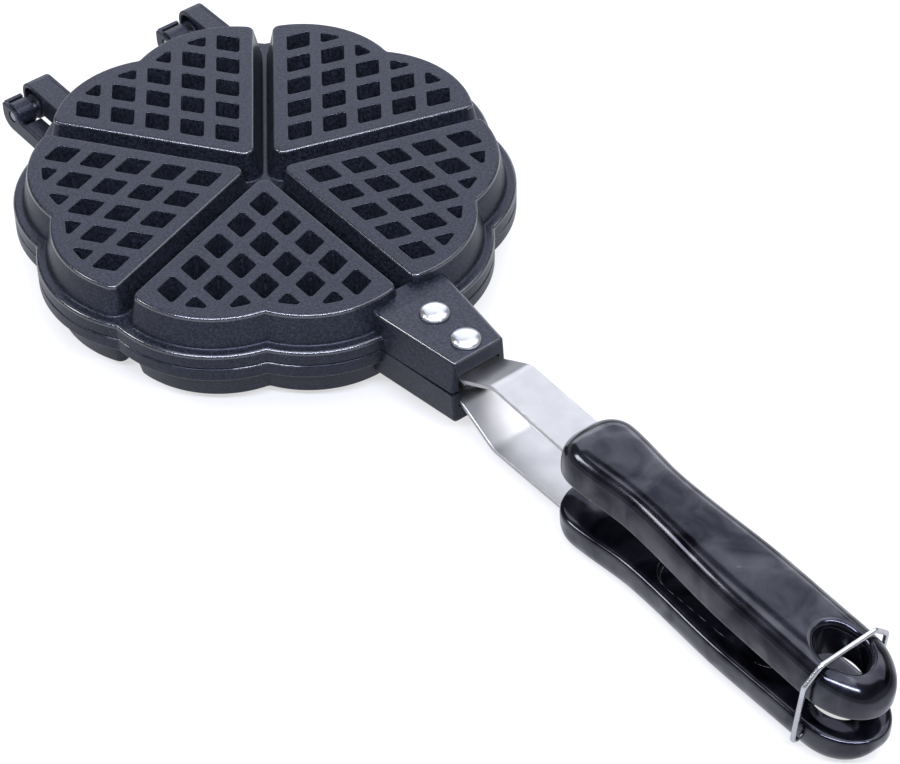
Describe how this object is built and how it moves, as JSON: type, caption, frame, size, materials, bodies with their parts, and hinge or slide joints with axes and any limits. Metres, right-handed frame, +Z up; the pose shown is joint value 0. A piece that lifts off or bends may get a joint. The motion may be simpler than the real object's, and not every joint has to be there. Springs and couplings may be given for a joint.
{
  "type": "waffle pan",
  "caption": "Stovetop waffle pan with hinged heart-shaped plates, riveted steel handle straps, long moulded grips and a wire bail that locks them.",
  "frame": {"origin": "middle of the whole object's box at its bottom, pan shut", "axes": "+X from the hinge along the handles to the grips' ends, +Y to the left seen from the hinge, +Z up through the upper plate"},
  "size_m": [0.424, 0.1828, 0.0459],
  "materials": {
    "cast": "cast aluminium with a dark grey non-stick coating, satin with fine specks",
    "steel": "satin flat steel strap",
    "rivet": "polished domed rivet",
    "pin": "plain hinge pin",
    "phenolic": "gloss black moulded phenolic",
    "screw": "plated slotted screw",
    "wire": "bright plated wire"
  },
  "bodies": {
    "base": {"lower_plate": "cast", "lower_strap": "steel", "lower_rivet_front": "rivet", "lower_rivet_rear": "rivet", "lower_grip": "phenolic", "lower_grip_screw": "screw", "hinge_pin_left": "pin", "hinge_pin_right": "pin"},
    "lid": {"upper_plate": "cast", "upper_strap": "steel", "upper_rivet_front": "rivet", "upper_rivet_rear": "rivet", "upper_grip": "phenolic", "upper_grip_screw": "screw"},
    "bail": {"bail": "wire"}
  },
  "joints": [
    {"name": "lid_hinge", "type": "hinge", "parent": "base", "child": "lid", "pos_m": [-0.20539, 0, 0.02363], "axis": [0, -1, 0], "range_deg": [0, 180]},
    {"name": "bail_hinge", "type": "hinge", "parent": "base", "child": "bail", "pos_m": [0.19211, 0, 0.00834], "axis": [0, 1, 0], "range_deg": [0, 220]}
  ]
}
